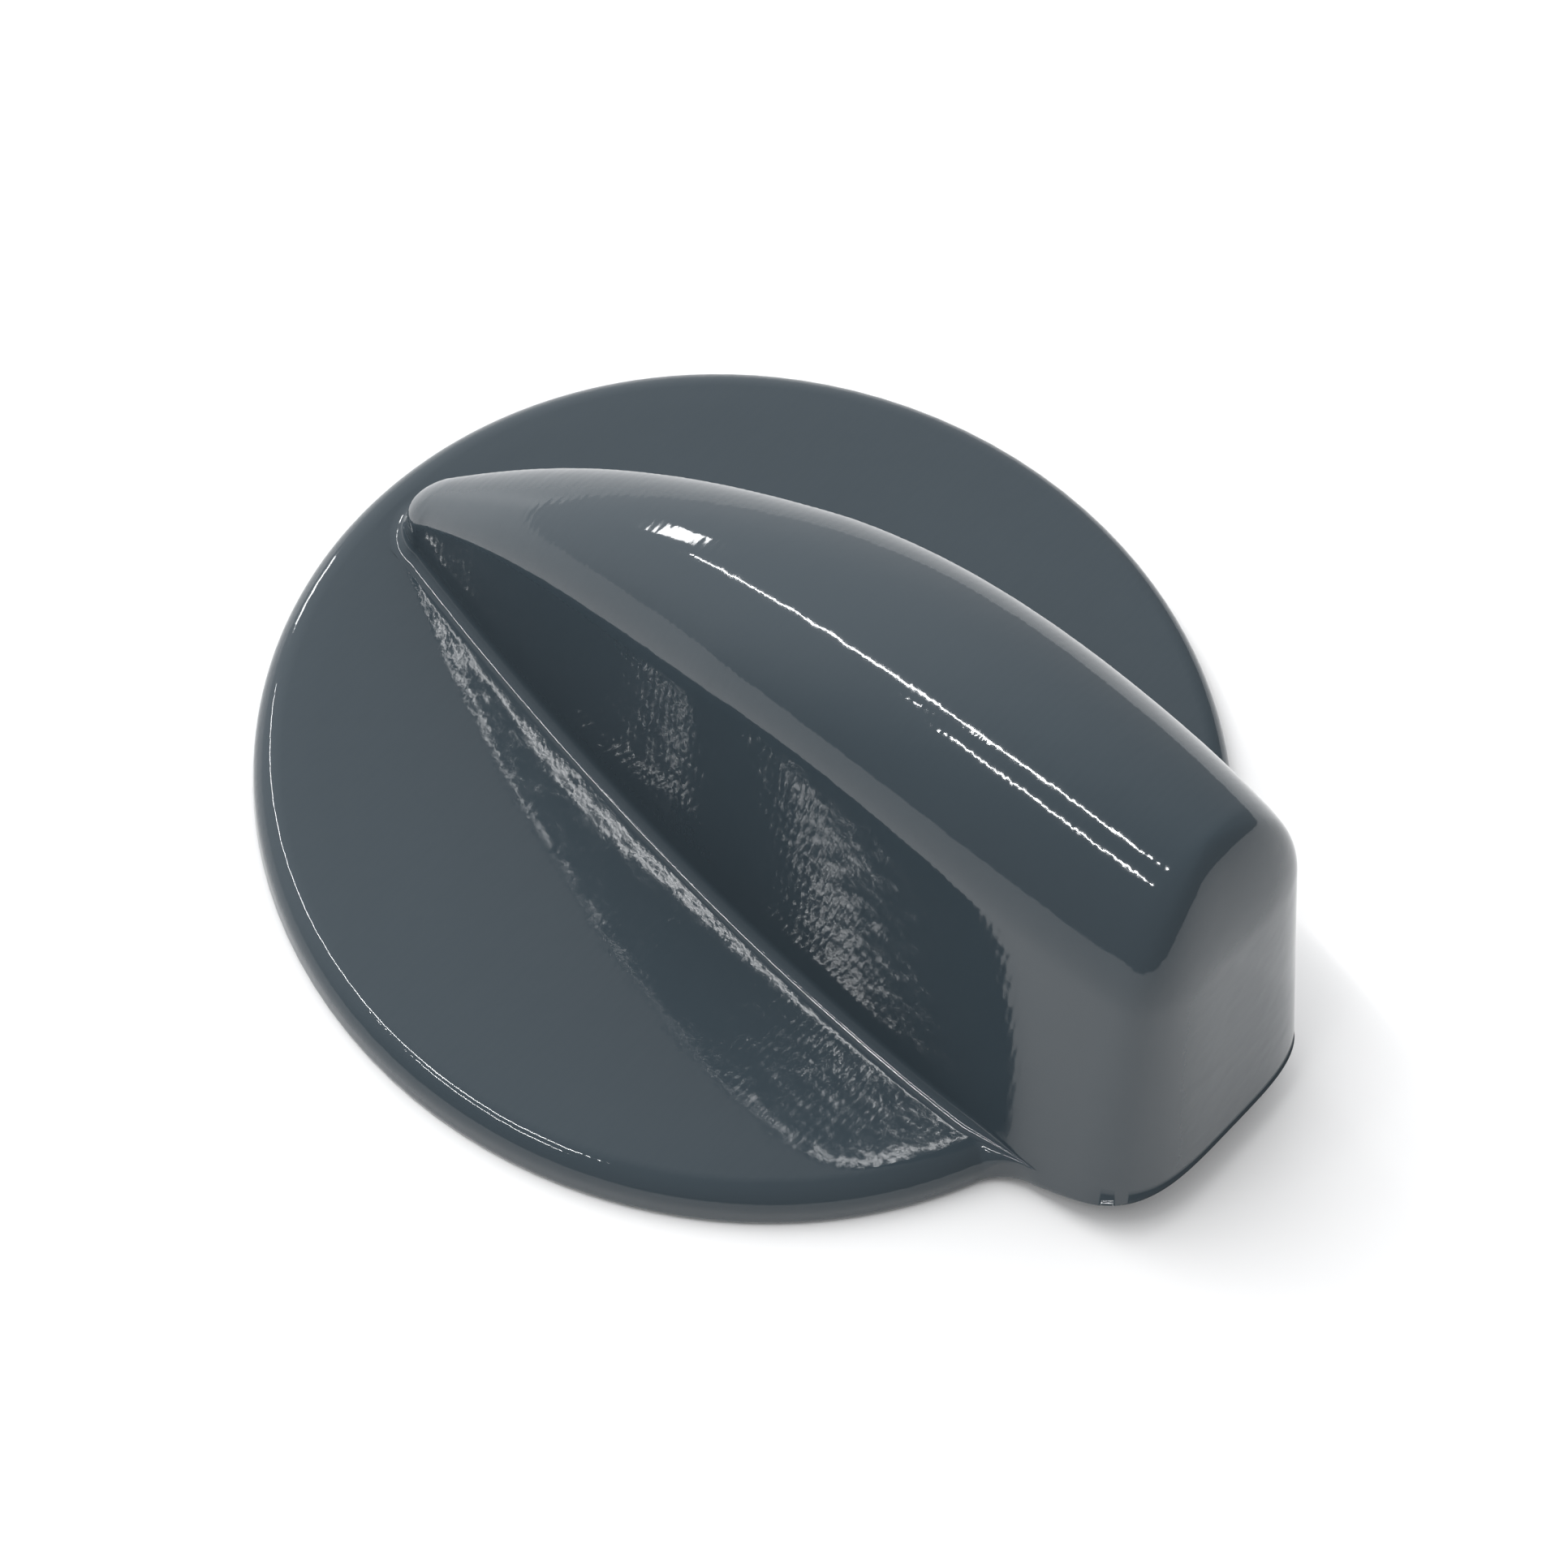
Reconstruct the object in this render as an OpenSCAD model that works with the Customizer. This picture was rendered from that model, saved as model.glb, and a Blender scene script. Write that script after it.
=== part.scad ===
// Push-on rotary knob of a washing machine: a thin round disc with a tall wing-shaped grip
// across it, pointed over the rim on one side and blunt and overhanging on the other.
// Moulded in one piece with a hollow grip, a socket for a flatted shaft and stiffening ribs.
// Millimetres. The origin is on the shaft axis in the plane of the disc's rest ring,
// +Z runs up along the shaft and +Y towards the pointed tip.

/* [Disc] */
// Diameter of the round disc
disc_d = 50; // [46:0.5:56]
// Thickness of the disc at its rim
disc_t = 2.5; // [2:0.1:3.6]
// Radius of the rim's upper edge
rim_r = 1.4; // [0.8:0.1:1.6]
// Radius of the rim's lower edge
rim_low_r = 0.4; // [0.2:0.1:0.6]
// Width of the ring under the rim that the knob rests on
rest_w = 2.4; // [2:0.1:4]
// Depth of the recess inside the rest ring
recess = 0.7; // [0.3:0.1:1]

/* [Grip seen from above] */
// Distance from the shaft axis to the pointed tip
tip_y = 22.5; // [19:0.1:23.4]
// Length of the tip's round end
tip_len = 1.9; // [1:0.1:2.6]
// Width of the grip where the tip's round end starts
tip_w = 3.9; // [3:0.1:5]
// Width of the grip where it is widest
grip_w = 16.5; // [15:0.1:19]
// Distance of the widest place from the shaft axis, towards the nose
wide_y = 21.1; // [16:0.1:23]
// How fast the sides close in towards the tip, 2 is a plain parabola
side_power = 1.79; // [1.6:0.01:2.1]
// Distance from the shaft axis to the blunt nose
nose_y = 31.4; // [29:0.1:34]
// Width that the grip narrows to at the nose
nose_w = 14.8; // [13:0.1:16]
// Length of the nose's rounding, seen from above
nose_len = 5.5; // [4:0.1:7]
// Squareness of the nose, 2 is an ellipse
nose_square = 3.8; // [2.5:0.1:4.5]

/* [Grip seen from the side] */
// Height of the ridge above the disc at its highest place
ridge_h = 22.8; // [20:0.1:27]
// Distance of the highest place from the shaft axis, towards the nose
ridge_y = 16.4; // [10:0.1:18]
// Height of the ridge above the disc where the tip's round end starts
tip_h = 4.7; // [3:0.1:5]
// How fast the ridge falls towards the tip
ridge_power = 2.23; // [1.8:0.01:2.4]
// How far the ridge falls from its highest place to the nose
nose_drop = 1.54; // [0:0.05:3]
// Height of the nose's open underside above the rest plane, at the rim
rim_lift = 0.5; // [0.3:0.1:1]
// Height that it rises to at the nose's end
nose_lift = 3.3; // [1:0.1:4]

/* [Grip edges] */
// Height of the rounding along the ridge near the tip
crown_tip = 2.2; // [1.6:0.1:2.8]
// Height of the rounding along the ridge above the shaft
crown_mid = 5.6; // [4:0.1:7]
// Height of the rounding along the ridge near the nose
crown_nose = 7.0; // [5:0.1:9]
// Height of the rounding over the nose's end face
nose_r = 6.3; // [4:0.1:7]
// Mould draft of the sides from the tip to the shaft, in degrees
tip_draft = 0.3; // [0.2:0.1:2]
// Mould draft that the sides grow to at the nose, in degrees
side_draft = 5.2; // [1:0.1:6]
// Mould draft of the nose's end face, in degrees
end_draft = 8.8; // [3:0.1:10]
// Radius of the fillet where the grip stands on the disc
foot_r = 0.8; // [0.4:0.1:1.2]
// Radius of the fillet where the disc's rim runs into the nose
notch_r = 2.6; // [1.5:0.1:4]

/* [Hollow] */
// Wall thickness of the grip
wall = 1.9; // [1.5:0.1:2.4]
// Thickness of the cross ribs
rib_t = 1.4; // [1:0.1:2]
// Distance of the cross rib in the tip's hollow from the shaft axis
tip_rib_y = 11.5; // [9:0.5:14]
// Distance of the cross rib in the nose's hollow from the shaft axis
nose_rib_y = 15; // [12:0.5:18]
// Height of the ribs' lower edge above the rest plane
rib_lift = 7; // [4:0.5:10]
// Height of the rim's wall where it crosses the hollow
bridge_h = 4.5; // [3.5:0.1:7]

/* [Shaft socket] */
// Diameter of the round part of the shaft
shaft_d = 6; // [5:0.1:6.4]
// Distance from the shaft's flat to its far side
shaft_across = 4.5; // [3.6:0.1:4.6]
// Clearance between the shaft's flatted end and the socket, on the radius
shaft_gap = 0.03; // [0:0.01:0.06]
// Clearance between the shaft and the socket's round mouth, on the radius
mouth_gap = 0.25; // [0.2:0.01:0.4]
// Outside diameter of the boss round the socket
boss_d = 10.6; // [9.6:0.1:12]
// Depth of the socket from the rest plane
socket_depth = 15; // [12:0.5:17]
// Height above the rest plane where the socket's flat starts: below it the socket is round
flat_from = 7; // [5:0.5:9]
// Diameter of the relief hole above the socket
relief_d = 3; // [2.4:0.1:3]
// Width of the lead-in chamfer at the socket's mouth
lead_in = 0.4; // [0.2:0.1:0.8]

/* [Hidden] */
plastic = "#46525a";
// Steps of the computed skin: round the tip, along a side, round the nose and over the crown
tip_steps = 6;
side_steps = 34;
nose_steps = 14;
crown_steps = 12;
foot_steps = 4;
// Fewer steps do for the hollow, which nobody sees
core_side_steps = 16;
core_crown_steps = 5;
// Overlap of cuts past the surfaces they cut
past = 1;
// Least half width of the hollow, where its tip ends
core_tip = 0.8;
// Least height of plain wall between the foot's fillet and the rounding
plain = 0.2;
// Overlap of the notch's fillet with the rim, so that the two circles cross
touch = 0.02;
// How far the bridge stands back from both edges of the rest ring
bridge_step = 0.3;

disc_r = disc_d / 2;
tip_root = tip_y - tip_len;
nose_root = -(nose_y - nose_len);
bore_r = shaft_d / 2 + shaft_gap;
mouth_r = shaft_d / 2 + mouth_gap;
flat_y = shaft_across - shaft_d / 2 + shaft_gap;
// Where the grip's sides cross the rim
rim_y = -sqrt(pow(disc_r, 2) - pow(grip_w / 2, 2));

function mix(a, b, t) = a + (b - a) * t;
function clamp01(t) = min(1, max(0, t));
function ease(t) = clamp01(t) * clamp01(t) * (3 - 2 * clamp01(t));

// Half the grip's width at y, where it meets the disc, before tip and nose are rounded
function half_w(y) =
    y > -wide_y
    ? grip_w / 2 - (grip_w - tip_w) / 2 * pow((y + wide_y) / (tip_root + wide_y), side_power)
    : grip_w / 2 - (grip_w - nose_w) / 2 * pow((-y - wide_y) / (nose_y - wide_y), 2);

// Where the grip's half width has fallen to w on the way to the tip
function y_of_half_w(w) =
    (tip_root + wide_y) * pow((grip_w / 2 - w) / ((grip_w - tip_w) / 2), 1 / side_power) - wide_y;

// Height of the ridge line above the disc at y
function ridge(y) =
    y > -ridge_y
    ? ridge_h - (ridge_h - tip_h) * pow((y + ridge_y) / (tip_root + ridge_y), ridge_power)
    : ridge_h - nose_drop * pow((-y - ridge_y) / (nose_y - ridge_y), 2);

// Height of the rounding along the ridge at y
function crown(y) =
    y > 0
    ? mix(crown_mid, crown_tip, ease(y / tip_root))
    : mix(crown_mid, crown_nose, ease(y / nose_root));

// Half of the plan outline, from the tip's end to the middle of the nose, for a wall set in
// by inset: each entry is the outline point and the y of the ridge point it climbs to
function half_plan(inset, root, y_end, steps) =
    let (nose_start = nose_root)
    let (len = y_end + nose_start)
    let (w = function (y) half_w(y) - inset)
    let (tip_r = inset > 0 ? w(root) : tip_len)
    concat(
        [for (i = [0 : tip_steps])
            let (a = 90 - 90 * i / tip_steps)
            [w(root) * cos(a), root + tip_r * sin(a), root]],
        [for (i = [1 : steps])
            let (y = mix(root, nose_start, i / steps))
            [w(y), y, y]],
        [for (i = [1 : nose_steps])
            let (a = 90 * i / nose_steps)
            let (y = nose_start - len * pow(sin(a), 2 / nose_square))
            [w(y) * pow(cos(a), 2 / nose_square), y, nose_start]]
    );

// Distance of an outline entry from its ridge point, and the direction towards it
function reach(p) = norm([p[0], p[1] - p[2]]);
function aim(p) = [p[0], p[1] - p[2]] / max(reach(p), 0.001);

// How much an outline entry belongs to the nose's end face: 0 on the sides, 1 in its middle
function endness(p) = ease((nose_root - p[1]) / nose_len);

// Draft of the sides at an outline entry, and of the end that it belongs to
function sideways(p) = mix(tip_draft, side_draft, clamp01(p[2] / nose_root));
function lengthways(p) = p[1] < p[2] ? tan(end_draft) / nose_len : tan(tip_draft) / tip_len;

// A point of the skin: the share s of the way out from the ridge to the outline, pushed out
// by flare, at height z above the disc. The outline shrinks with height by the draft.
function skin_pt(p, s, flare, z) =
    let (x = s * p[0] * (1 - z * tan(sideways(p)) / half_w(p[2])))
    let (y = s * (p[1] - p[2]) * (1 - z * lengthways(p)))
    [x + flare * aim(p)[0], p[2] + y + flare * aim(p)[1], disc_t + z];

// Height of the rounding for an outline entry, never more than the ridge leaves
function crown_of(p, low, top) =
    min(mix(crown(p[2]), nose_r, endness(p)) - low, ridge(p[1]) - top - foot_r - plain);

// The fillet at the grip's foot fades out where the outline leaves the disc
function foot_of(p) = foot_r * ease((disc_r - norm([p[0], p[1]])) / (2 * foot_r));

function foot_pt(p, a) =
    let (r = foot_of(p))
    skin_pt(p, 1, r * (1 - sin(a)), foot_r * (1 - cos(a)));

function crown_pt(p, a, low, top) =
    let (c = crown_of(p, low, top))
    let (y = p[2] + aim(p)[1] * reach(p) * cos(a))
    skin_pt(p, cos(a), 0, ridge(y) - top - c * (1 - sin(a)));

// Rings of the outer skin from below the rest plane up, one half of each
function outer_rings(plan) = concat(
    [[for (p = plan) skin_pt(p, 1, foot_of(p), -disc_t - past)]],
    [for (i = [0 : foot_steps]) [for (p = plan) foot_pt(p, 90 * i / foot_steps)]],
    [for (i = [0 : crown_steps - 1]) [for (p = plan) crown_pt(p, 90 * i / crown_steps, 0, 0)]]
);

// Rings of the hollow, set in by the wall and the roof
function core_rings(plan) = concat(
    [[for (p = plan) skin_pt(p, 1, 0, -disc_t - past)]],
    [for (i = [0 : core_crown_steps - 1])
        [for (p = plan) crown_pt(p, 90 * i / core_crown_steps, wall / 2, wall)]]
);

// A closed loop from half a ring: down the right side, round the nose and back up the left
function whole(half) = concat(half, [for (i = [len(half) - 2 : -1 : 1]) [-half[i][0], half[i][1], half[i][2]]]);

// Skin over a stack of half rings, closed below by a flat and above along the ridge line
module skin(rings, ridge_line) {
    loops = [for (r = rings) whole(r)];
    n = len(loops[0]);
    last = len(rings[0]) - 1;
    rows = len(loops);
    spine = [for (i = [0 : last]) i <= tip_steps ? 0 : min(i, last - nose_steps) - tip_steps];
    function spine_of(j) = rows * n + spine[j <= last ? j : n - j];
    ridge_pts = [for (i = [tip_steps : last - nose_steps]) ridge_line[i]];
    polyhedron(
        points = concat([for (l = loops) each l], ridge_pts),
        faces = concat(
            [[for (j = [n - 1 : -1 : 0]) j]],
            [for (r = [0 : rows - 2]) for (j = [0 : n - 1])
                each [
                    [r * n + j, r * n + (j + 1) % n, (r + 1) * n + j],
                    [r * n + (j + 1) % n, (r + 1) * n + (j + 1) % n, (r + 1) * n + j]
                ]],
            [for (j = [0 : n - 1])
                let (a = (rows - 1) * n + j)
                let (b = (rows - 1) * n + (j + 1) % n)
                let (c = spine_of((j + 1) % n))
                let (d = spine_of(j))
                each (c == d ? [[a, b, d]] : [[a, b, d], [b, c, d]])]
        )
    );
}

module grip_skin() {
    plan = half_plan(0, tip_root, nose_y, side_steps);
    skin(outer_rings(plan), [for (p = plan) [0, p[2], disc_t + ridge(p[2])]]);
}

module grip_core() {
    plan = half_plan(wall, y_of_half_w(wall + core_tip), nose_y - wall, core_side_steps);
    skin(core_rings(plan), [for (p = plan) [0, p[2], disc_t + ridge(p[2]) - wall]]);
}

// The disc, turned about the shaft axis, with both rim edges rounded
module disc() {
    rotate_extrude($fn = 180)
        union() {
            square([disc_r - rim_r, disc_t]);
            square([disc_r - rim_low_r, disc_t - rim_r]);
            translate([0, rim_low_r]) square([disc_r, disc_t - rim_r - rim_low_r]);
            translate([disc_r - rim_r, disc_t - rim_r])
                intersection() {
                    circle(r = rim_r, $fn = 48);
                    square(rim_r + past);
                }
            translate([disc_r - rim_low_r, rim_low_r]) circle(r = rim_low_r, $fn = 48);
        }
}

// Everything under the grip: its floor lies inside the disc for most of its length, and
// from the rim on it rises towards the nose
module below() {
    reach_y = nose_y + past;
    rise = mix(rim_lift, nose_lift, (reach_y + rim_y) / (nose_y + rim_y));
    rotate([90, 0, 90])
        translate([0, 0, -disc_r])
            linear_extrude(2 * disc_r)
                polygon([
                    [disc_r, -2 * past], [disc_r, disc_t / 2], [rim_y + disc_t, disc_t / 2],
                    [rim_y, rim_lift], [-reach_y, rise], [-reach_y, -2 * past]
                ]);
}

// Fillet that carries the rim round into the side of the nose, on the +X side
module notch() {
    side_x = half_w(rim_y);
    mid_x = side_x + notch_r;
    mid = [mid_x, -sqrt(pow(disc_r + notch_r - touch, 2) - pow(mid_x, 2))];
    rise = disc_t - rim_r;
    difference() {
        linear_extrude(disc_t)
            polygon([
                [side_x - past, rim_y + notch_r], [side_x - past, mid[1]], mid,
                mid * (disc_r - notch_r) / norm(mid)
            ]);
        translate([mid[0], mid[1], 0])
            rotate_extrude($fn = 72)
                difference() {
                    translate([0, -past]) square([notch_r + rim_r, disc_t + 2 * past]);
                    translate([notch_r, -2 * past]) square([2 * rim_r, rise + 2 * past]);
                    translate([notch_r + rim_r, rise]) circle(r = rim_r, $fn = 48);
                }
    }
}

module grip() {
    difference() {
        union() {
            grip_skin();
            notch();
            mirror([1, 0, 0]) notch();
        }
        below();
    }
}

// Boss round the socket, longer than it ends up at both ends
module boss() {
    translate([0, 0, -2 * past]) cylinder(d = boss_d, h = disc_t + ridge_h + 3 * past, $fn = 90);
}

// Rim wall that bridges the hollow, so that the rest ring is whole
module bridge() {
    translate([0, 0, -past])
        difference() {
            cylinder(r = disc_r - bridge_step, h = bridge_h + past, $fn = 180);
            cylinder(r = disc_r - rest_w + bridge_step, h = bridge_h + 2 * past, $fn = 180);
        }
}

module cross_rib(y) {
    translate([-grip_w / 2, y - rib_t / 2, rib_lift]) cube([grip_w, rib_t, ridge_h]);
}

// What the mould's core leaves hollow in the grip
module hollow() {
    difference() {
        grip_core();
        boss();
        bridge();
        cross_rib(tip_rib_y);
        cross_rib(-nose_rib_y);
    }
}

// Shallow recess inside the rest ring, with the boss standing in it
module under_recess() {
    difference() {
        translate([0, 0, -past]) cylinder(r = disc_r - rest_w, h = recess + past, $fn = 180);
        boss();
    }
}

// Socket for a shaft whose end has one flat: its round mouth takes the shaft's round part.
// It has a lead-in below and a relief hole above.
module socket() {
    difference() {
        translate([0, 0, past]) cylinder(r = bore_r, h = socket_depth - past, $fn = 90);
        translate([-shaft_d, flat_y, flat_from]) cube([2 * shaft_d, shaft_d, socket_depth]);
    }
    translate([0, 0, -past]) cylinder(r = mouth_r, h = flat_from + past, $fn = 90);
    translate([0, 0, -past])
        cylinder(r1 = mouth_r + lead_in + past, r2 = mouth_r - past, h = lead_in + 2 * past, $fn = 90);
    translate([0, 0, socket_depth - past])
        cylinder(d = relief_d, h = disc_t + ridge(0) - 2 * wall - socket_depth + past, $fn = 60);
}

module knob_body() {
    color(plastic)
        difference() {
            union() {
                disc();
                grip();
            }
            hollow();
            under_recess();
            socket();
        }
}

knob_body();
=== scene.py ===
import math
import bpy
from mathutils import Matrix, Vector


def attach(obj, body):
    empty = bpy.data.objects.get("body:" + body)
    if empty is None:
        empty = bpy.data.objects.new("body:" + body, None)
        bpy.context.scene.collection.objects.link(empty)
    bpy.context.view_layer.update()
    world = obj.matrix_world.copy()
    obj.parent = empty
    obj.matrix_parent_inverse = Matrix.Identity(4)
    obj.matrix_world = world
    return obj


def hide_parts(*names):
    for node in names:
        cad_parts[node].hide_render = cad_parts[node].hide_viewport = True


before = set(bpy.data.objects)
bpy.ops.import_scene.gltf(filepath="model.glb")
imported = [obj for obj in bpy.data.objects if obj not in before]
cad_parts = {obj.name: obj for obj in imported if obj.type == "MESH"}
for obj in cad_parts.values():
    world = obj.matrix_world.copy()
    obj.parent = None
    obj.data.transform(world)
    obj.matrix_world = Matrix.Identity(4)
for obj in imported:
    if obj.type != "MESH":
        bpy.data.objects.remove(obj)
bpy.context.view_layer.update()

# The view: a long lens a good arm's length away, high above the blunt nose's left side,
# turned a little clockwise, as the photograph was taken.
turn, climb, tilt = math.radians(-58.366), math.radians(57.792), math.radians(10.291)
aside, above, away, pixels_a_mm = 0.0019339, 0.0008845, 0.4, 24.1757
toward = Vector((math.sin(turn) * math.cos(climb), -math.cos(turn) * math.cos(climb), math.sin(climb)))
level = Vector((math.cos(turn), math.sin(turn), 0))
target = level * aside + level.cross(-toward) * above
eye = toward * away
forward = (target - eye).normalized()
right = forward.cross(Vector((0, 0, 1))).normalized()
up = right.cross(forward)
image_right = right * math.cos(tilt) + up * math.sin(tilt)
image_up = up * math.cos(tilt) - right * math.sin(tilt)
camera = bpy.data.objects.new("camera", bpy.data.cameras.new("camera"))
bpy.context.scene.collection.objects.link(camera)
bpy.context.scene.camera = camera
camera.data.sensor_width = 36
camera.data.lens = 36 / 1932 * pixels_a_mm * away * 1000
camera.data.clip_start, camera.data.clip_end = 0.01, 10
camera.matrix_world = Matrix.Translation(eye) @ Matrix((image_right, image_up, -forward)).transposed().to_4x4()

# The knob: one injection moulding in glossy dark blue-grey plastic. A thin round disc carries
# a tall hollow grip, shaped like a boat's hull upside down, that runs from a pointed tip out
# over the rim to a blunt nose. A boss for the shaft, two cross ribs and the rim stand inside.
knob_sizes = {
    "Disc diameter": 50, "Disc thickness": 2.5, "Rim rounding": 1.4, "Low rim rounding": 0.4,
    "Rest ring width": 2.4, "Recess depth": 0.7,
    "Tip distance": 22.5, "Tip length": 1.9, "Tip width": 3.9, "Grip width": 16.5,
    "Widest place": 21.1, "Side power": 1.79, "Nose distance": 31.4, "Nose width": 14.8,
    "Nose length": 5.5, "Nose squareness": 3.8,
    "Ridge height": 22.8, "Ridge place": 16.4, "Tip height": 4.7, "Ridge power": 2.23,
    "Nose drop": 1.54, "Rim lift": 0.5, "Nose lift": 3.3,
    "Crown at tip": 2.2, "Crown at shaft": 5.6, "Crown at nose": 7.0, "Crown over end": 6.3,
    "Tip draft": 0.3, "Side draft": 5.2, "End draft": 8.8, "Foot fillet": 0.8, "Notch fillet": 2.6,
    "Wall": 1.9, "Hollow tip": 0.8, "Rib thickness": 1.4, "Tip rib place": 11.5,
    "Nose rib place": 15, "Rib lift": 7, "Bridge height": 4.5,
    "Boss diameter": 10.6, "Bore radius": 3.03, "Mouth radius": 3.25, "Flat distance": 1.53, "Socket depth": 15,
    "Flat start": 7, "Relief diameter": 3, "Lead in": 0.4,
}
moulding = bpy.data.node_groups.new("knob_moulding", "GeometryNodeTree")
size_sockets = {}
for size_name, millimetres in knob_sizes.items():
    size_sockets[size_name] = moulding.interface.new_socket(size_name, in_out="INPUT", socket_type="NodeSocketFloat")
    size_sockets[size_name].default_value = millimetres
plastic_socket = moulding.interface.new_socket("Plastic", in_out="INPUT", socket_type="NodeSocketMaterial")
moulding.interface.new_socket("Knob", in_out="OUTPUT", socket_type="NodeSocketGeometry")
entry = moulding.nodes.new("NodeGroupInput")


class Term:
    """A number worked out by the tree's Math nodes, so that shapes read as plain sums."""

    def __init__(self, socket):
        self.socket = socket

    def __add__(self, other):
        return reckon("ADD", self, other)

    def __sub__(self, other):
        return reckon("SUBTRACT", self, other)

    def __mul__(self, other):
        return reckon("MULTIPLY", self, other)

    def __truediv__(self, other):
        return reckon("DIVIDE", self, other)

    def __pow__(self, other):
        return reckon("POWER", reckon("MAXIMUM", self, 0), other)

    def __radd__(self, other):
        return reckon("ADD", other, self)

    def __rsub__(self, other):
        return reckon("SUBTRACT", other, self)

    def __rmul__(self, other):
        return reckon("MULTIPLY", other, self)

    def __rtruediv__(self, other):
        return reckon("DIVIDE", other, self)


def reckon(kind, *terms, clamp=False):
    node = moulding.nodes.new("ShaderNodeMath")
    node.operation = kind
    node.use_clamp = clamp
    for socket, term in zip(node.inputs, terms):
        if isinstance(term, Term):
            moulding.links.new(term.socket, socket)
        else:
            socket.default_value = term
    return Term(node.outputs[0])


def least(a, b):
    return reckon("MINIMUM", a, b)


def most(a, b):
    return reckon("MAXIMUM", a, b)


def sine(a):
    return reckon("SINE", a)


def cosine(a):
    return reckon("COSINE", a)


def mix(a, b, share):
    return a + (b - a) * share


def stretch(count, start, length):
    """0 before start, 1 from start + length on, and even in between."""
    return reckon("DIVIDE", count - start, length, clamp=True)


def ease(a):
    held = reckon("ADD", a, 0, clamp=True)
    return held * held * (3 - 2 * held)


def far(x, y):
    return reckon("SQRT", x * x + y * y)


size = {size_name: Term(entry.outputs[size_name]) for size_name in knob_sizes}
disc_r = size["Disc diameter"] / 2
tip_root = size["Tip distance"] - size["Tip length"]
nose_root = size["Nose length"] - size["Nose distance"]
half_turn = math.pi / 2


def half_width(y):
    """Half the grip's width where it meets the disc."""
    to_tip = (y + size["Widest place"]) / (tip_root + size["Widest place"])
    to_nose = (0 - y - size["Widest place"]) / (size["Nose distance"] - size["Widest place"])
    by_tip = (size["Grip width"] - size["Tip width"]) / 2 * to_tip ** size["Side power"]
    by_nose = (size["Grip width"] - size["Nose width"]) / 2 * to_nose ** 2
    return size["Grip width"] / 2 - by_tip - by_nose


def ridge(y):
    """Height of the ridge above the disc."""
    to_tip = (y + size["Ridge place"]) / (tip_root + size["Ridge place"])
    to_nose = (0 - y - size["Ridge place"]) / (size["Nose distance"] - size["Ridge place"])
    by_tip = (size["Ridge height"] - size["Tip height"]) * to_tip ** size["Ridge power"]
    return size["Ridge height"] - by_tip - size["Nose drop"] * to_nose ** 2


def crown(y):
    """Height of the rounding along the ridge."""
    by_tip = (size["Crown at tip"] - size["Crown at shaft"]) * ease(y / tip_root)
    by_nose = (size["Crown at nose"] - size["Crown at shaft"]) * ease(y / nose_root)
    return size["Crown at shaft"] + by_tip + by_nose


def grid_of(columns, rows):
    """A net of points with each one's column and row number as Terms."""
    grid = moulding.nodes.new("GeometryNodeMeshGrid")
    grid.inputs["Size X"].default_value = columns - 1
    grid.inputs["Size Y"].default_value = rows - 1
    grid.inputs["Vertices X"].default_value = columns
    grid.inputs["Vertices Y"].default_value = rows
    place = moulding.nodes.new("GeometryNodeInputPosition")
    split = moulding.nodes.new("ShaderNodeSeparateXYZ")
    moulding.links.new(place.outputs[0], split.inputs[0])
    return grid.outputs["Mesh"], Term(split.outputs[0]) + (columns - 1) / 2, Term(split.outputs[1]) + (rows - 1) / 2


def put_at(mesh, x, y, z):
    """Moves each point of the net to its place, given in millimetres."""
    join = moulding.nodes.new("ShaderNodeCombineXYZ")
    for socket, term in zip(join.inputs, (x, y, z)):
        moulding.links.new((term * 0.001).socket, socket)
    setter = moulding.nodes.new("GeometryNodeSetPosition")
    moulding.links.new(mesh, setter.inputs["Geometry"])
    moulding.links.new(join.outputs[0], setter.inputs["Position"])
    return setter.outputs[0]


# One half of the skin is a net: its columns go round the grip from the tip to the nose, and
# its rows run from the ridge down the side, over the disc and the rim, and up the hollow.
tip_columns, side_columns, nose_columns = 12, 116, 40
crown_rows, wall_rows, foot_rows, ledge_rows, rim_rows, outer_rows = 26, 10, 7, 8, 9, 3
low_rows, ring_rows, step_rows, recess_rows, hollow_rows, roof_rows = 4, 2, 1, 4, 8, 8
row_counts = [crown_rows, wall_rows, foot_rows, ledge_rows, rim_rows, outer_rows,
              low_rows, ring_rows, step_rows, recess_rows, hollow_rows, roof_rows]
net, column, row = grid_of(tip_columns + side_columns + nose_columns + 1, sum(row_counts) + 1)
shares = [stretch(row, sum(row_counts[:n]), row_counts[n]) for n in range(len(row_counts))]
on_crown, on_wall, on_foot, on_ledge, on_rim, on_outer, on_low, on_ring, on_step, on_recess, on_hollow, on_roof = shares

tip_turn = (1 - stretch(column, 0, tip_columns)) * half_turn
side_share = stretch(column, tip_columns, side_columns)
nose_turn = stretch(column, tip_columns + side_columns, nose_columns) * half_turn
out_of_middle = cosine(tip_turn) * cosine(nose_turn) ** (2 / size["Nose squareness"])
into_nose = sine(nose_turn) ** (2 / size["Nose squareness"])

# Outline of the grip's foot, and the ridge point that each column climbs to.
ridge_y = mix(tip_root, nose_root, side_share)
foot_y = ridge_y + size["Tip length"] * sine(tip_turn) - size["Nose length"] * into_nose
foot_x = half_width(least(foot_y, tip_root)) * out_of_middle
endness = ease((nose_root - foot_y) / size["Nose length"])

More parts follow.
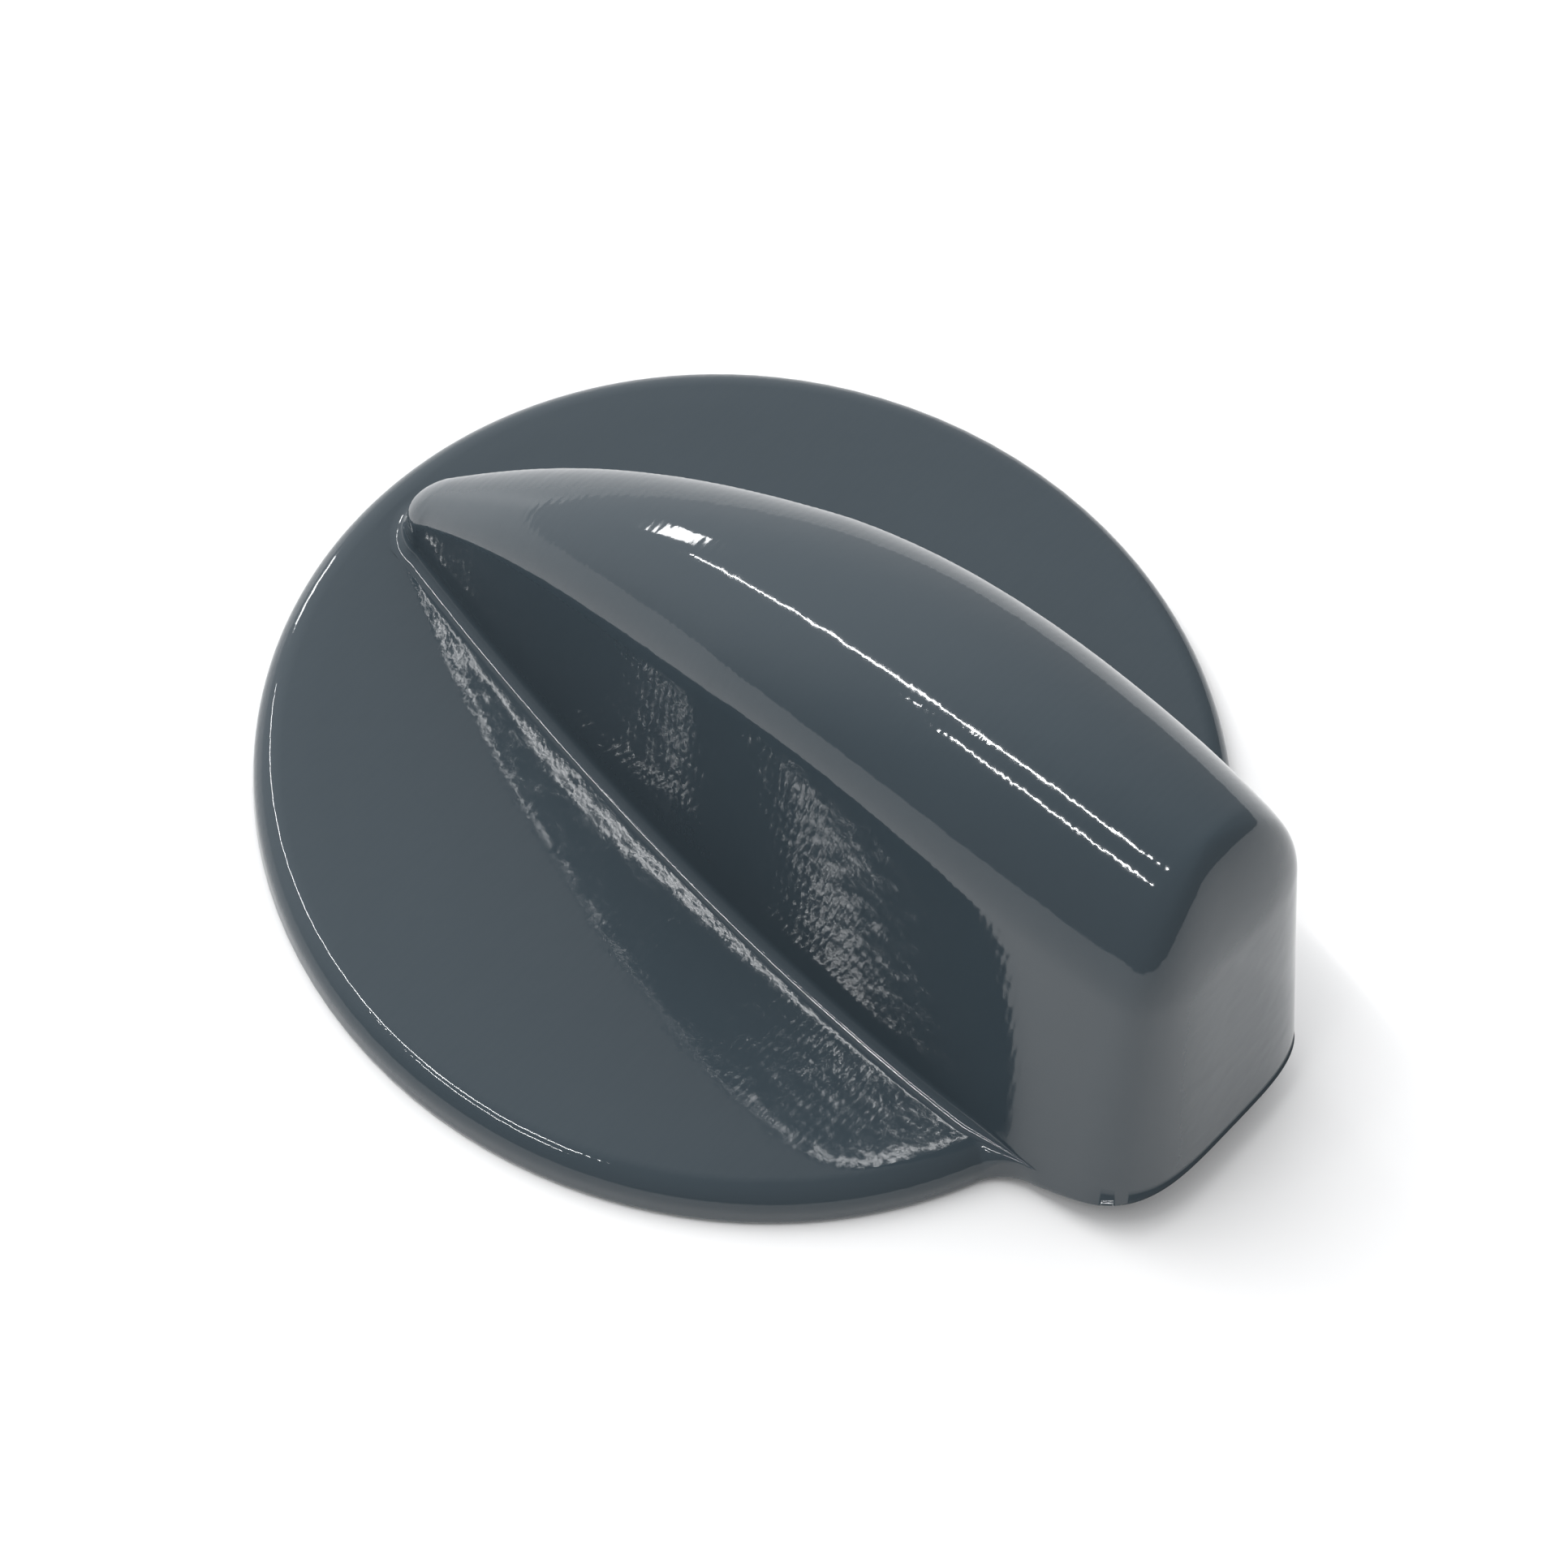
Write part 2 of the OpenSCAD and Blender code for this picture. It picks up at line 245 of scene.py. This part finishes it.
# Outline of the hollow inside it.
hollow_root = (
    (tip_root + size["Widest place"])
    * ((size["Grip width"] / 2 - size["Wall"] - size["Hollow tip"]) / ((size["Grip width"] - size["Tip width"]) / 2))
    ** (1 / size["Side power"])
    - size["Widest place"]
)
roof_y = mix(hollow_root, nose_root, side_share)
inner_y = roof_y + size["Hollow tip"] * sine(tip_turn) - (size["Nose length"] - size["Wall"]) * into_nose
inner_x = (half_width(least(inner_y, hollow_root)) - size["Wall"]) * out_of_middle

# The rim: on the disc each column goes straight out from the shaft axis, and from the notch
# on it follows the fillet that carries the rim into the nose's side.
rim_y = 0 - reckon("SQRT", disc_r * disc_r - size["Grip width"] * size["Grip width"] / 4)
fillet_x = half_width(rim_y) + size["Notch fillet"]
fillet_y = 0 - reckon("SQRT", (disc_r + size["Notch fillet"]) * (disc_r + size["Notch fillet"]) - fillet_x * fillet_x)
foot_far = far(foot_x, foot_y)
fillet_far = far(foot_x - fillet_x, foot_y - fillet_y)
past_disc = reckon("GREATER_THAN", foot_x * (0 - fillet_y), (0 - foot_y) * fillet_x - 0.0001)
in_notch = (1 - past_disc) * reckon("LESS_THAN", foot_y, 0)
on_nose = reckon("LESS_THAN", foot_y, fillet_y)
in_arc = in_notch * (1 - on_nose)
ledge = mix(disc_r - foot_far, most(fillet_far - size["Notch fillet"], 0), in_arc) * (1 - on_nose)
in_x = mix(0 - foot_x / foot_far, (foot_x - fillet_x) / fillet_far, in_arc)
in_y = mix(0 - foot_y / foot_far, (foot_y - fillet_y) / fillet_far, in_arc)
edge_x = foot_x - in_x * ledge
edge_y = foot_y - in_y * ledge
in_x = mix(in_x, 0 - foot_x / far(foot_x, foot_y - nose_root), on_nose)
in_y = mix(in_y, (nose_root - foot_y) / far(foot_x, foot_y - nose_root), on_nose)
fit_share = reckon("DIVIDE", ledge, size["Foot fillet"] + size["Rim rounding"], clamp=True)
foot_r = size["Foot fillet"] * fit_share
rim_r = size["Rim rounding"] * fit_share
ledge_end = size["Notch fillet"] * 1.5
noseness = ease(1 - ledge / ledge_end)
slope = reckon("DIVIDE", edge_y - rim_y, 0 - size["Nose distance"] - rim_y, clamp=True)
floor_z = mix(size["Rim lift"], size["Nose lift"], slope) * noseness * in_notch

# Heights above the disc's top, row by row.
reach_x = far(foot_x, foot_y - ridge_y)
out_x = foot_x / most(reach_x, 0.001)
out_y = (foot_y - ridge_y) / most(reach_x, 0.001)
side_lean = reckon("TANGENT", mix(size["Tip draft"], size["Side draft"], reckon("DIVIDE", ridge_y, nose_root, clamp=True)) * (math.pi / 180))
end_lean = reckon("TANGENT", size["End draft"] * (math.pi / 180)) / size["Nose length"]
tip_lean = reckon("TANGENT", size["Tip draft"] * (math.pi / 180)) / size["Tip length"]
over_nose = reckon("LESS_THAN", foot_y, nose_root)
along_lean = mix(tip_lean, end_lean, over_nose)
rounding = mix(crown(ridge_y), size["Crown over end"], endness)
rounding = least(rounding, ridge(foot_y) - foot_r - 1)
out_share = sine(on_crown * half_turn)
crown_y = ridge_y + (foot_y - ridge_y) * out_share
height = ridge(crown_y) - rounding * (1 - cosine(on_crown * half_turn))
height = mix(height, foot_r, on_wall)
height = height - foot_r * sine(on_foot * half_turn)
height = height - rim_r * (1 - cosine(on_rim * half_turn))
low_r = size["Low rim rounding"] * (1 - 0.7 * noseness * in_notch)
thickness = size["Disc thickness"]
outer_z = floor_z + low_r - thickness
height = most(height, outer_z)
height = mix(height, outer_z, on_outer)
height = height - low_r * sine(on_low * half_turn)
band = far(edge_x - inner_x, edge_y - inner_y)
step_share = reckon("SUBTRACT", band, size["Rest ring width"], clamp=True)
height = height + size["Recess depth"] * step_share * on_step

# Places in plan, row by row, on the outside.
plain_z = least(height, 100) * (1 - on_ledge)
lean_z = mix(plain_z, height * on_nose, on_rim)
plan_x = out_share * foot_x * (1 - lean_z * side_lean / half_width(ridge_y))
plan_y = ridge_y + out_share * (foot_y - ridge_y) * (1 - lean_z * along_lean)
plan_x = plan_x + foot_r * (1 - cosine(on_foot * half_turn)) * out_x
plan_y = plan_y + foot_r * (1 - cosine(on_foot * half_turn)) * out_y
drop_z = floor_z - thickness
end_x = edge_x * (1 - drop_z * side_lean / half_width(ridge_y) * on_nose)
end_y = ridge_y + (edge_y - ridge_y) * (1 - drop_z * along_lean * on_nose)
nose_z = most(outer_z, 0) * on_nose
rim_x = edge_x * (1 - nose_z * side_lean / half_width(ridge_y)) + in_x * rim_r
rim_row_y = ridge_y + (edge_y - ridge_y) * (1 - nose_z * along_lean) + in_y * rim_r
plan_x = mix(plan_x, rim_x, on_ledge)
plan_y = mix(plan_y, rim_row_y, on_ledge)
plan_x = plan_x - in_x * rim_r * sine(on_rim * half_turn)
plan_y = plan_y - in_y * rim_r * sine(on_rim * half_turn)
plan_x = mix(plan_x, end_x, on_outer)
plan_y = mix(plan_y, end_y, on_outer)
plan_x = plan_x + in_x * low_r * (1 - cosine(on_low * half_turn))
plan_y = plan_y + in_y * low_r * (1 - cosine(on_low * half_turn))

# Then inwards over the rest ring and the recess to the hollow's edge.
ring_share = reckon("DIVIDE", size["Rest ring width"], band, clamp=True)
plan_x = mix(plan_x, mix(edge_x, inner_x, ring_share), on_ring)
plan_y = mix(plan_y, mix(edge_y, inner_y, ring_share), on_ring)
plan_x = mix(plan_x, inner_x, on_recess)
plan_y = mix(plan_y, inner_y, on_recess)

# And up the hollow's walls to its roof.
roof_round = least(mix(crown(roof_y), size["Crown over end"], endness) - size["Wall"] / 2, ridge(inner_y) - size["Wall"] - 1)
roof_share = cosine(on_roof * half_turn)
roof_row_y = roof_y + (inner_y - roof_y) * roof_share
roof_z = ridge(roof_row_y) - size["Wall"] - roof_round * (1 - sine(on_roof * half_turn))
height = mix(height, roof_z, on_hollow)
plan_x = mix(plan_x, roof_share * inner_x * (1 - height * side_lean / half_width(roof_y)), on_hollow)
plan_y = mix(plan_y, roof_y + roof_share * (inner_y - roof_y) * (1 - height * along_lean * over_nose), on_hollow)
half_skin = put_at(net, plan_x, plan_y, height + thickness)

mirror = moulding.nodes.new("GeometryNodeTransform")
mirror.inputs["Scale"].default_value = (-1, 1, 1)
moulding.links.new(half_skin, mirror.inputs["Geometry"])
turned = moulding.nodes.new("GeometryNodeFlipFaces")
moulding.links.new(mirror.outputs[0], turned.inputs[0])
halves = moulding.nodes.new("GeometryNodeJoinGeometry")
moulding.links.new(half_skin, halves.inputs[0])
moulding.links.new(turned.outputs[0], halves.inputs[0])
closed = moulding.nodes.new("GeometryNodeMergeByDistance")
closed.inputs["Distance"].default_value = 2e-6
moulding.links.new(halves.outputs[0], closed.inputs[0])
parts_of_knob = [closed.outputs[0]]

# The boss and the ribs end inside the grip's roof, half way through its wall.
def inside_roof(x, y):
    lean = reckon("TANGENT", mix(size["Tip draft"], size["Side draft"], ease(y / nose_root)) * (math.pi / 180))
    half = half_width(y) - size["Wall"] / 2 - ridge(y) * lean * 0.8
    arch = reckon("SQRT", most(1 - (x / half) * (x / half), 0))
    return thickness + ridge(y) - size["Wall"] / 2 - (crown(y) - size["Wall"] / 4) * (1 - arch)


# The boss round the shaft socket is turned round the shaft axis. The socket is round at its
# mouth, has a flat above it, and ends in the relief hole of the mould's core pin.
boss_net, spoke, ring = grid_of(97, 11)
spoke_turn = spoke * (-2 * math.pi / 96)
relief_top = thickness + ridge(0 * spoke) - size["Wall"] * 2
middle, floor_level = 0 * spoke, 0 * spoke
boss_profile = [
    (middle, relief_top + size["Wall"], 0), (size["Boss diameter"] / 2, relief_top, 0),
    (size["Boss diameter"] / 2, floor_level, 0), (size["Mouth radius"] + size["Lead in"], floor_level, 0),
    (size["Mouth radius"], size["Lead in"], 0), (size["Mouth radius"], size["Flat start"], 0),
    (size["Bore radius"], size["Flat start"], 1), (size["Bore radius"], size["Socket depth"], 1),
    (size["Relief diameter"] / 2, size["Socket depth"], 0), (size["Relief diameter"] / 2, relief_top, 0),
    (middle, relief_top, 0),
]
boss_r, boss_z, flatted = boss_profile[0]
for n in range(1, len(boss_profile)):
    reached = reckon("GREATER_THAN", ring, n - 0.5)
    boss_r = mix(boss_r, boss_profile[n][0], reached)
    boss_z = mix(boss_z, boss_profile[n][1], reached)
    flatted = flatted + reached * (boss_profile[n][2] - boss_profile[n - 1][2])
boss_x = boss_r * cosine(spoke_turn)
boss_y = boss_r * sine(spoke_turn)
boss_y = mix(boss_y, least(boss_y, size["Flat distance"]), flatted)
boss_z = mix(boss_z, inside_roof(boss_x, boss_y), reckon("LESS_THAN", ring, 1.5))
parts_of_knob.append(put_at(boss_net, boss_x, boss_y, boss_z))

# The two cross ribs stand across the hollow, from their lower edge up into the roof.
for rib_place in (size["Tip rib place"], 0 - size["Nose rib place"]):
    rib_net, across, around = grid_of(27, 5)
    half_rib = half_width(rib_place + 0 * across) - size["Wall"] * 0.6
    at_end = reckon("GREATER_THAN", reckon("ABSOLUTE", across - 13), 12.5)
    across = most(least(across - 1, 24), 0)
    narrow = 1 - 0.09 * reckon("GREATER_THAN", around, 0.5) * reckon("LESS_THAN", around, 2.5)
    rib_x = (across / 12 - 1) * half_rib * narrow
    on_top = reckon("GREATER_THAN", around, 0.5) * reckon("LESS_THAN", around, 2.5)
    on_back = reckon("GREATER_THAN", around, 1.5) * reckon("LESS_THAN", around, 3.5)
    rib_z = mix(size["Rib lift"], inside_roof(rib_x, rib_place), on_top)
    rib_y = rib_place + (on_back - 0.5) * size["Rib thickness"] * (1 - at_end)
    rib_z = mix(rib_z, size["Rib lift"] + 1, at_end)
    rib_x = mix(rib_x, (across / 12 - 1) * half_rib, at_end)
    parts_of_knob.append(put_at(rib_net, rib_x, rib_y, rib_z))

# The rim's wall where it bridges the hollow.
bridge_net, across, around = grid_of(27, 5)
at_end = reckon("GREATER_THAN", reckon("ABSOLUTE", across - 13), 12.5)
bridge_turn = (most(least(across - 1, 24), 0) / 12 - 1) * 0.31
on_outside = reckon("GREATER_THAN", around, 0.5) * reckon("LESS_THAN", around, 2.5)
on_upside = reckon("GREATER_THAN", around, 1.5) * reckon("LESS_THAN", around, 3.5)
bridge_r = mix(disc_r - size["Rest ring width"] + 0.3, disc_r - 0.3, on_outside * (1 - at_end))
bridge_z = size["Bridge height"] * on_upside * (1 - at_end)
parts_of_knob.append(put_at(bridge_net, bridge_r * sine(bridge_turn), 0 - bridge_r * cosine(bridge_turn), bridge_z))

together = moulding.nodes.new("GeometryNodeJoinGeometry")
for part in parts_of_knob:
    moulding.links.new(part, together.inputs[0])
smooth = moulding.nodes.new("GeometryNodeSetShadeSmooth")
welded = moulding.nodes.new("GeometryNodeMergeByDistance")
welded.inputs["Distance"].default_value = 2e-6
moulding.links.new(together.outputs[0], welded.inputs[0])
moulding.links.new(welded.outputs[0], smooth.inputs["Geometry"])
fold = moulding.nodes.new("GeometryNodeInputMeshEdgeAngle")
sharp = moulding.nodes.new("GeometryNodeSetShadeSmooth")
sharp.domain = "EDGE"
sharp.inputs["Shade Smooth"].default_value = False
moulding.links.new(smooth.outputs[0], sharp.inputs["Geometry"])
moulding.links.new(reckon("GREATER_THAN", Term(fold.outputs[0]), math.radians(40)).socket, sharp.inputs["Selection"])
real = moulding.nodes.new("GeometryNodeRealizeInstances")
moulding.links.new(sharp.outputs[0], real.inputs[0])
dress = moulding.nodes.new("GeometryNodeSetMaterial")
moulding.links.new(real.outputs[0], dress.inputs["Geometry"])
moulding.links.new(entry.outputs["Plastic"], dress.inputs["Material"])
way_out = moulding.nodes.new("NodeGroupOutput")
moulding.links.new(dress.outputs[0], way_out.inputs[0])

# Its plastic: dyed through and glossy, with the faint waves of a hand-polished mould, the
# fine cross marks of the mill left along the crown, and a slight cloudiness of its colour.
plastic = bpy.data.materials.new("knob_plastic")
plastic.use_nodes = True
tree = plastic.node_tree
shader = tree.nodes["Principled BSDF"]
shader.inputs["Roughness"].default_value = 0.06
shader.inputs["IOR"].default_value = 1.5


def place_node(kind, links=(), **settings):
    node = tree.nodes.new(kind)
    for name, value in settings.items():
        if hasattr(node, name):
            setattr(node, name, value)
        else:
            node.inputs[name.replace("_", " ")].default_value = value
    for socket, source in links:
        tree.links.new(source, node.inputs[socket])
    return node


where = place_node("ShaderNodeTexCoord").outputs["Object"]
waves = place_node("ShaderNodeTexNoise", [("Vector", where)], Scale=800, Detail=1.5, Roughness=0.5)
peel = place_node("ShaderNodeTexNoise", [("Vector", where)], Scale=6000, Detail=1.0, Roughness=0.5)
mill = place_node("ShaderNodeTexWave", [("Vector", where)], bands_direction="Y", Scale=700, Distortion=3.0, Detail=1.0)
cloud = place_node("ShaderNodeTexNoise", [("Vector", where)], Scale=90, Detail=3.0, Roughness=0.6)
tint = place_node("ShaderNodeMix", [("Factor", cloud.outputs["Fac"])], data_type="RGBA")
tint.inputs["A"].default_value = (0.0340, 0.0475, 0.0580, 1)
tint.inputs["B"].default_value = (0.0380, 0.0530, 0.0640, 1)
tree.links.new(tint.outputs["Result"], shader.inputs["Base Color"])
swell = place_node("ShaderNodeBump", [("Height", waves.outputs["Fac"])], Strength=1.0, Distance=0.000014)
marks = place_node(
    "ShaderNodeBump", [("Height", mill.outputs["Fac"]), ("Normal", swell.outputs["Normal"])],
    Strength=1.0, Distance=0.0000015)
grain = place_node(
    "ShaderNodeBump", [("Height", peel.outputs["Fac"]), ("Normal", marks.outputs["Normal"])],
    Strength=1.0, Distance=0.000001)
tree.links.new(grain.outputs["Normal"], shader.inputs["Normal"])

knob = bpy.data.objects.new("knob", bpy.data.meshes.new("knob"))
bpy.context.scene.collection.objects.link(knob)
shaping = knob.modifiers.new("moulding", "NODES")
shaping.node_group = moulding
for size_name, millimetres in knob_sizes.items():
    shaping[size_sockets[size_name].identifier] = float(millimetres)
shaping[plastic_socket.identifier] = plastic
ready = knob.evaluated_get(bpy.context.evaluated_depsgraph_get())
knob.data = bpy.data.meshes.new_from_object(ready)
knob.modifiers.clear()
knob.data.name = "knob"
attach(knob, "root")
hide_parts("knob_body")

# The table: a plain white sheet under the knob.
table_mesh = bpy.data.meshes.new("table")
table_mesh.from_pydata([(-0.2, -0.2, 0), (0.2, -0.2, 0), (0.2, 0.2, 0), (-0.2, 0.2, 0)], [], [(0, 1, 2, 3)])
table = bpy.data.objects.new("table", table_mesh)
table.location = (0, 0, -0.00005)
bpy.context.scene.collection.objects.link(table)
paper = bpy.data.materials.new("white_table")
paper.use_nodes = True
paper.node_tree.nodes["Principled BSDF"].inputs["Base Color"].default_value = (0.9, 0.9, 0.9, 1)
table_mesh.materials.append(paper)

# The light: a dim room with a brighter wall beyond the tip, seen by all but the camera,
# which sees plain white. Two long tubes hang overhead, and a window is far behind the tip.
room = bpy.data.worlds.new("room")
bpy.context.scene.world = room
room.use_nodes = True
tree = room.node_tree
for node in list(tree.nodes):
    tree.nodes.remove(node)
heading = place_node("ShaderNodeTexCoord").outputs["Generated"]
facing = place_node("ShaderNodeVectorMath", [(0, heading)], operation="DOT_PRODUCT")
facing.inputs[1].default_value = (0.25, 0.93, 0.27)
bright = place_node("ShaderNodeMapRange", [("Value", facing.outputs["Value"])], interpolation_type="SMOOTHSTEP")
for socket, value in zip(bright.inputs[1:5], (0.1, 0.95, 0.28, 1.0)):
    socket.default_value = value
air = place_node("ShaderNodeBackground", [("Strength", bright.outputs["Result"])])
air.inputs["Color"].default_value = (0.97, 0.98, 1.0, 1)
white = place_node("ShaderNodeBackground", Strength=1.0)
white.inputs["Color"].default_value = (1, 1, 1, 1)
seen = place_node("ShaderNodeLightPath").outputs["Is Camera Ray"]
both = place_node("ShaderNodeMixShader", [(0, seen), (1, air.outputs[0]), (2, white.outputs[0])])
place_node("ShaderNodeOutputWorld", [(0, both.outputs[0])])

for name, middle_of, across_by, along_by, watts, swing in (
    ("tube_near", (-0.116, 1.30, 1.0), 0.016, 2.70, 12.0, -10.6),
    ("tube_far", (-0.67, 0.17, 1.0), 0.013, 0.50, 2.2, -20.0),
    ("louvre_0", (-0.318, 0.300, 1.0), 0.005, 0.016, 0.035, 0.0),
    ("louvre_1", (-0.332, 0.306, 1.0), 0.005, 0.016, 0.035, 0.0),
    ("louvre_2", (-0.346, 0.312, 1.0), 0.007, 0.016, 0.05, 0.0),
    ("louvre_3", (-0.430, 0.495, 1.0), 0.005, 0.016, 0.035, 0.0),
    ("louvre_4", (-0.446, 0.505, 1.0), 0.005, 0.016, 0.035, 0.0),
    ("louvre_5", (-0.438, 0.520, 1.0), 0.012, 0.005, 0.03, 0.0),
    ("window", (0.5, 1.9, 0.55), 0.30, 0.22, 4.0, 0.0),
    ("ceiling_glow", (0.1, 0.1, 1.3), 2.6, 2.6, 19.0, 0.0),
):
    lamp = bpy.data.lights.new(name, "AREA")
    lamp.shape, lamp.size, lamp.size_y, lamp.energy = "RECTANGLE", across_by, along_by, watts
    holder = bpy.data.objects.new(name, lamp)
    holder.location = middle_of
    holder.rotation_euler.z = math.radians(swing)
    holder.visible_glossy = name != "ceiling_glow"
    if name == "window":
        holder.rotation_euler = Vector(middle_of).to_track_quat("Z", "Y").to_euler()
    bpy.context.scene.collection.objects.link(holder)

bpy.context.scene.view_settings.view_transform = "Standard"
